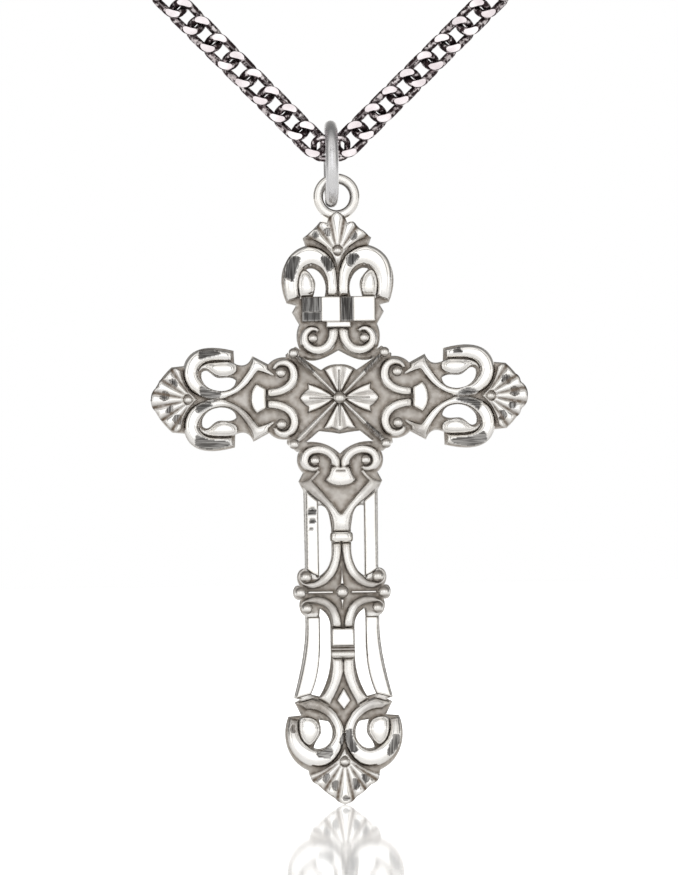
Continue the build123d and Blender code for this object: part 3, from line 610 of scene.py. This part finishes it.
relief("crown_shell_relief", ["crown_shell"], "bright_cut_silver", fluted((0, 12.3), 90, 165, 7),
       cuts=((-0.75, 14.1, 0.45, -12, 9, 0.05), (1.3, 13.9, 0.4, 15, 0, 0.04), (-1.75, 13.9, 0.4, -15, 3, 0.04)))
relief("crown_scroll_relief", ["crown_scrolls"], "bright_cut_silver", rounded(0.8),
       cuts=((-3.75, 11.1, 1.1, -15.5, 2, 0.1), (-0.95, 11.5, 0.7, 15.5, 0, 0.1),
             (1.35, 11.75, 0.6, -15.5, 4, 0.09)))
relief("crown_leaf_relief", ["crown_leaves"], "bright_cut_silver", leafed(0.6), wall=0.4)
relief("crown_band_relief", ["crown_band"], "bright_cut_silver", banded, wall=0.0, step=0.08 * MM)
relief("crown_volute_relief", ["crown_volutes"], "relief_silver", rounded(0.5))
for side, sign in (("left", -1), ("right", 1)):
    arm = f"{side}_arm_"
    relief(arm + "volute_relief", [arm + "volutes"], "relief_silver", rounded(0.5))
    relief(arm + "strand_relief", [arm + "forks", arm + "scrolls"], "bright_cut_silver",
           matt_shaded(0.62, ARM_MATT_SHADE[side]), cuts=ARM_CUTS[side])
    relief(arm + "leaf_relief", [arm + "leaves"], "bright_cut_silver", leafed(0.6), wall=0.4)
    relief(arm + "cap_relief", [arm + "cap"], "bright_cut_silver", eased(0.2, 0.2), wall=0.6)
    relief(arm + "shell_relief", [arm + "shell"], "bright_cut_silver",
           fluted((12.6 * sign, 0), 90 - 90 * sign, 155, 7),
           cuts=[(x * sign, z, 0.42, tilt, rise, 0.05) for x, z, tilt, rise in SHELL_CUTS])
relief("rosette_petal_relief", ["rosette_petals"], "relief_silver", petalled, wall=0.25, step=0.07 * MM)
relief("rosette_ray_relief", ["rosette_rays"], "bright_cut_silver", rayed, wall=0.84, step=0.06 * MM)
relief("shaft_volute_relief", ["shaft_volutes", "shaft_tongue"], "relief_silver", tongued)
# spots of painted shade, made matt
relief("shaft_fork_relief", ["shaft_fork"], "relief_silver",
       matt_shaded(0.6, ((-2.3, -8.0, 2.6, 0.45), (2.6, -7.6, 1.6, 0.25))))
relief("upper_rail_relief", ["upper_rails"], "bright_cut_silver", eased(0.15, 0.1), wall=0.6,
       cuts=((-2.5, -9.8, 0.4, -2, 18, 0.09), (-2.45, -10.6, 0.3, -2, 18, 0.05),
             (-2.6, -11.3, 0.22, -2, 18, 0.02)))
relief("upper_collar_relief", ["upper_collar"], "bright_cut_silver", rounded(0.5), wall=0.5)
# the knot's scrolls: spots of painted shade, made matt
relief("knot_upper_relief", ["knot_upper_scrolls"], "relief_silver",
       matt_shaded(0.45, ((-2.3, -15.8, 1.6, 0.25), (2.3, -15.8, 1.8, 0.35))))
relief("knot_lower_relief", ["knot_lower_scrolls"], "relief_silver",
       matt_shaded(0.45, ((-1.9, -17.4, 2.4, 0.45), (2.0, -17.2, 1.8, 0.4))))
relief("lower_block_relief", ["lower_block"], "bright_cut_silver", eased(0.12, 0.1), wall=0.7)
relief("lower_collar_relief", ["lower_collar"], "relief_silver", collared, wall=0.4, step=0.06 * MM)
relief("lower_rail_relief", ["lower_rails"], "bright_cut_silver", eased(0.15, 0.1), wall=0.6)
relief("stem_leg_relief", ["stem_legs"], "relief_silver", rounded(0.6), wall=0.5)
relief("foot_diamond_relief", ["foot_diamond"], "bright_cut_silver", eased(0.12, 0.1), wall=0.5)
# spots of painted shade, made matt
relief("foot_strand_relief", ["foot_horns", "foot_scrolls"], "bright_cut_silver",
       matt_shaded(0.62, ((-3.2, -26.9, 3.0, 0.7), (3.2, -26.9, 2.8, 0.45))),
       cuts=((-1.7, -30.35, 0.7, 4, 17, 0.12), (0.62, -29.4, 1.0, -15.5, 0, 0.09),
             (4.35, -29.9, 1.0, 15.5, -3, 0.09), (-4.3, -28.3, 0.35, -15, 3, 0.04)))
relief("foot_leaf_relief", ["foot_leaves"], "bright_cut_silver", leafed(0.6), wall=0.4)
relief("foot_shell_relief", ["foot_shell"], "bright_cut_silver", fluted((0, -30.9), -90, 155, 7),
       cuts=((-1.5, -32.6, 0.4, -15.5, 0, 0.05), (-0.7, -33.2, 0.45, -15.5, -3, 0.05),
             (0.75, -33.1, 0.5, 15.5, -3, 0.05), (1.6, -32.6, 0.45, 15.5, 0, 0.05),
             (0.05, -34.2, 0.35, 3, -13, 0.04)))
relief("rosette_ridge_relief", ["rosette_ridges"], "bright_cut_silver", roofed(0.085), wall=0.8, step=0.05 * MM)
relief("knot_ridge_relief", ["knot_ridges"], "bright_cut_silver", eased(0.06), wall=0.6, step=0.05 * MM)
plate("back_plate_piece", "back_plate", "oxidised_silver")


# ---------------------------------------------------------------- camera

LEAN = 0.0145                    # the camera's lean, in radians
VIEW_HEIGHT = 75.0 * MM          # what the camera sees at the object
VIEW_X, VIEW_Z = -0.034 * MM, -3.42 * MM
CAMERA_AWAY = 0.6
SENSOR = 36
MIDDLE_DEPTH = -1.2 * MM         # the depth that the camera turns about
TO_LEFT = math.radians(2)        # the camera stands a little to the left
RISE = math.radians(-0.5)

up = Vector((LEAN, 0, 1))
aim = Vector((1, 0, -LEAN)) * VIEW_X + up * VIEW_Z + Vector((0, MIDDLE_DEPTH, 0))
back = Vector((-math.sin(TO_LEFT) * math.cos(RISE), -math.cos(TO_LEFT) * math.cos(RISE), math.sin(RISE)))
up = (up - up.dot(back) * back).normalized()
camera_data = bpy.data.cameras.new("camera")
camera_data.sensor_fit = "VERTICAL"
camera_data.sensor_height = SENSOR
camera_data.lens = SENSOR * CAMERA_AWAY / VIEW_HEIGHT
camera_data.clip_start = 0.01
camera_data.clip_end = 20
camera = bpy.data.objects.new("camera", camera_data)
bpy.context.scene.collection.objects.link(camera)
turn = Matrix((up.cross(back), up, back)).transposed().to_4x4()
camera.matrix_world = Matrix.Translation(aim + back * CAMERA_AWAY) @ turn
bpy.context.scene.camera = camera


# ---------------------------------------------------------------- floor and light

FLOOR_HALF = 1.5
FLOOR_CORNERS = ((-1, -1), (1, -1), (1, 1), (-1, 1))
# Brightness of the surroundings, from straight behind the object (0) to straight in front of it (1).
BEHIND, IN_FRONT = 1.3, 1.2
STUDIO_TONES = ((0.06, 1.2), (0.14, 0.4), (0.3, 0.25), (0.5, 0.2), (0.62, 0.36), (0.76, 0.8), (0.88, 1.15))
SCREEN_TONE = 0.3                # brightness left where a dark screen stands


def pale_floor():
    mesh = bpy.data.meshes.new("floor")
    corners = [(x * FLOOR_HALF, y * FLOOR_HALF, FLOOR_Z) for x, y in FLOOR_CORNERS]
    mesh.from_pydata(corners, [], [(0, 1, 2, 3)])
    floor = bpy.data.objects.new("floor", mesh)
    bpy.context.scene.collection.objects.link(floor)
    material = bpy.data.materials.new("floor")
    material.use_nodes = True
    inputs = material.node_tree.nodes["Principled BSDF"].inputs
    inputs["Base Color"].default_value = (0.9, 0.9, 0.9, 1)
    inputs["Roughness"].default_value = 0.05
    inputs["Emission Color"].default_value = (1, 1, 1, 1)
    inputs["Emission Strength"].default_value = 0.35
    mesh.materials.append(material)


def studio():
    """White surroundings: brightest in front, darker to the sides, with narrow dark screens beside the camera."""
    world = bpy.data.worlds.new("studio")
    bpy.context.scene.world = world
    world.use_nodes = True
    tree = world.node_tree
    direction = added(tree, "TexCoord").outputs["Generated"]

    spread = vector_maths(tree, "MULTIPLY", direction, (0.7, 1, 1.15))["Vector"]
    even = vector_maths(tree, "NORMALIZE", spread)["Vector"]
    brightest = Vector((-0.1, -0.97, 0.2)).normalized()
    facing = vector_maths(tree, "DOT_PRODUCT", even, brightest)["Value"]
    tones = added(tree, "ValToRGB", {"Fac": maths(tree, "MULTIPLY_ADD", facing, 0.5, 0.5)})
    stops = tones.color_ramp.elements
    stops[0].position, stops[0].color = 0.0, (BEHIND, BEHIND, BEHIND, 1)
    stops[1].position, stops[1].color = 1.0, (IN_FRONT, IN_FRONT, IN_FRONT, 1)
    for position, value in STUDIO_TONES:
        stops.new(position).color = (value, value * 0.98, value * 0.95, 1)

    axes = added(tree, "SeparateXYZ", {0: direction}).outputs
    front = maths(tree, "MAXIMUM", maths(tree, "MULTIPLY", axes["Y"], -1), 0.05)
    sideways = maths(tree, "ABSOLUTE", maths(tree, "DIVIDE", axes["X"], front))
    upward = maths(tree, "DIVIDE", axes["Z"], front)
    behind = maths(tree, "GREATER_THAN", axes["Y"], -0.15)
    screens = []
    for value, at, half in ((sideways, 0.6, 0.13), (upward, -0.5, 0.1), (upward, 0.75, 0.1)):
        off = maths(tree, "ABSOLUTE", maths(tree, "SUBTRACT", value, at))
        screen = added(tree, "MapRange", {"Value": off, "From Min": half * 0.6, "From Max": half,
                                          "To Min": SCREEN_TONE}, interpolation_type="SMOOTHSTEP")
        screens.append(screen.outputs[0])
    shade = maths(tree, "MULTIPLY", maths(tree, "MULTIPLY", *screens[:2]), screens[2])
    shade = maths(tree, "MAXIMUM", shade, behind)
    dimmed = added(tree, "VectorMath", {0: tones.outputs["Color"], "Scale": shade}, operation="SCALE")
    seen = added(tree, "LightPath").outputs["Is Camera Ray"]
    tree.links.new(mixed(tree, seen, dimmed.outputs[0], (1, 1, 1)), tree.nodes["Background"].inputs["Color"])


pale_floor()
studio()
bpy.context.scene.view_settings.view_transform = "Standard"
